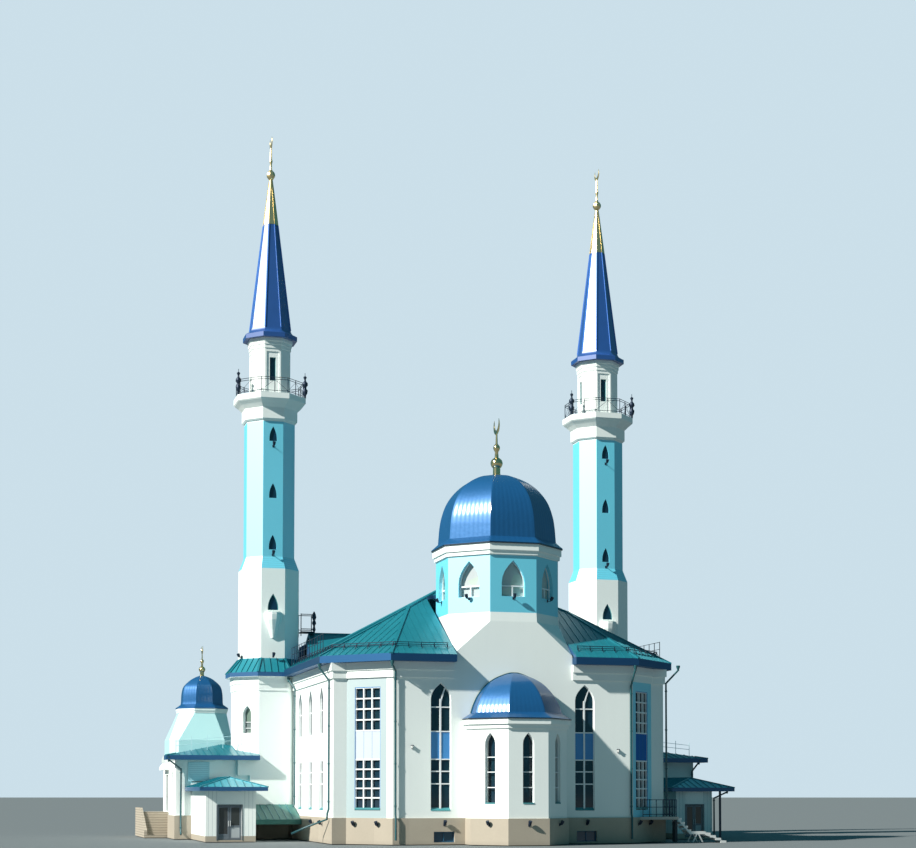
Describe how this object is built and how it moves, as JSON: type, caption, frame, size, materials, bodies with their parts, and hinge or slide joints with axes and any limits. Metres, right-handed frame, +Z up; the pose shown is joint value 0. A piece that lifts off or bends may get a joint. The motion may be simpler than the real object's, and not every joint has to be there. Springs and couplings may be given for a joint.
{
  "type": "half-size scale model of a mosque",
  "caption": "Mosque with a faceted blue dome, a prayer niche, tall octagonal minarets, side wings and porches with hinged doors.",
  "frame": {"origin": "on the ground, in the plane of the front wall, on the centre line of the building", "axes": "-Y towards the front, where the prayer niche stands out; +X to the right seen from there; +Z up"},
  "size_m": [19.4903, 15.9483, 24.1084],
  "materials": {
    "white_wall": "painted metal cassette cladding, white",
    "brown_stone": "rough stone facing, warm brown",
    "turquoise_wall": "painted metal cladding, turquoise",
    "teal_roof": "standing seam sheet, teal",
    "blue_dome": "standing seam sheet, blue",
    "navy_trim": "painted sheet trim, navy",
    "gilt": "gilded metal",
    "dark_iron": "painted dark",
    "window_glass": "tinted glass",
    "door_leaf": "grey painted frame with glass",
    "concrete": "cast concrete"
  },
  "bodies": {
    "building": {"base_tower": "white_wall", "ceiling_cornice": "white_wall", "corner_platform_right": "concrete", "corner_window_left": "window_glass", "corner_window_right": "window_glass", "dome": "blue_dome", "dome_finial": "gilt", "drum": "turquoise_wall", "drum_glass": "window_glass", "eaves_left": "navy_trim", "eaves_right": "navy_trim", "entrance_roof": "teal_roof", "entrance_wall": "white_wall", "front_wall": "white_wall", "front_window_left": "window_glass", "front_window_right": "window_glass", "hall_floor": "concrete", "lean_to_roof": "teal_roof", "main_roof": "teal_roof", "minaret_base_left": "white_wall", "minaret_base_right": "white_wall", "minaret_gallery_left": "white_wall", "minaret_gallery_right": "white_wall", "minaret_railing_left": "dark_iron", "minaret_railing_right": "dark_iron", "minaret_shaft_left": "turquoise_wall", "minaret_shaft_right": "turquoise_wall", "minaret_spire_left": "blue_dome", "minaret_spire_right": "blue_dome", "niche_dome": "blue_dome", "niche_glass": "window_glass", "niche_wall": "white_wall", "platform_railing_right": "dark_iron", "platform_railing_side": "dark_iron", "plinth": "brown_stone", "porch_roof_left": "teal_roof", "porch_roof_right": "teal_roof", "porch_wall_left_east": "white_wall", "porch_wall_left_west": "white_wall", "porch_wall_right_east": "white_wall", "porch_wall_right_west": "white_wall", "steel_stair_right": "white_wall", "upper_floor": "concrete", "wall_left": "white_wall", "wall_right": "white_wall", "wing_dome_left": "blue_dome", "wing_dome_right": "blue_dome", "wing_door_hood_left": "white_wall", "wing_roof_left": "teal_roof", "wing_roof_right": "teal_roof", "wing_side_door_left": "door_leaf", "wing_steps_left": "concrete", "wing_tower_left": "white_wall", "wing_tower_right": "white_wall", "wing_walls_left": "white_wall", "wing_walls_right": "white_wall"},
    "left_porch_west_leaf": {"door_left_west": "door_leaf"},
    "left_porch_east_leaf": {"door_left_east": "door_leaf"},
    "right_porch_west_leaf": {"door_right_west": "door_leaf"},
    "right_porch_east_leaf": {"door_right_east": "door_leaf"}
  },
  "joints": [
    {"name": "left_porch_west_leaf_hinge", "type": "hinge", "parent": "building", "child": "left_porch_west_leaf", "pos_m": [-8.23, 4.3725, 0.6], "axis": [0, 0, 1], "range_deg": [-90, 0]},
    {"name": "left_porch_east_leaf_hinge", "type": "hinge", "parent": "building", "child": "left_porch_east_leaf", "pos_m": [-7.545, 4.3725, 0.6], "axis": [0, 0, 1], "range_deg": [0, 90]},
    {"name": "right_porch_west_leaf_hinge", "type": "hinge", "parent": "building", "child": "right_porch_west_leaf", "pos_m": [7.35, 4.3725, 0.6], "axis": [0, 0, 1], "range_deg": [-90, 0]},
    {"name": "right_porch_east_leaf_hinge", "type": "hinge", "parent": "building", "child": "right_porch_east_leaf", "pos_m": [7.905, 4.3725, 0.6], "axis": [0, 0, 1], "range_deg": [0, 90]}
  ]
}
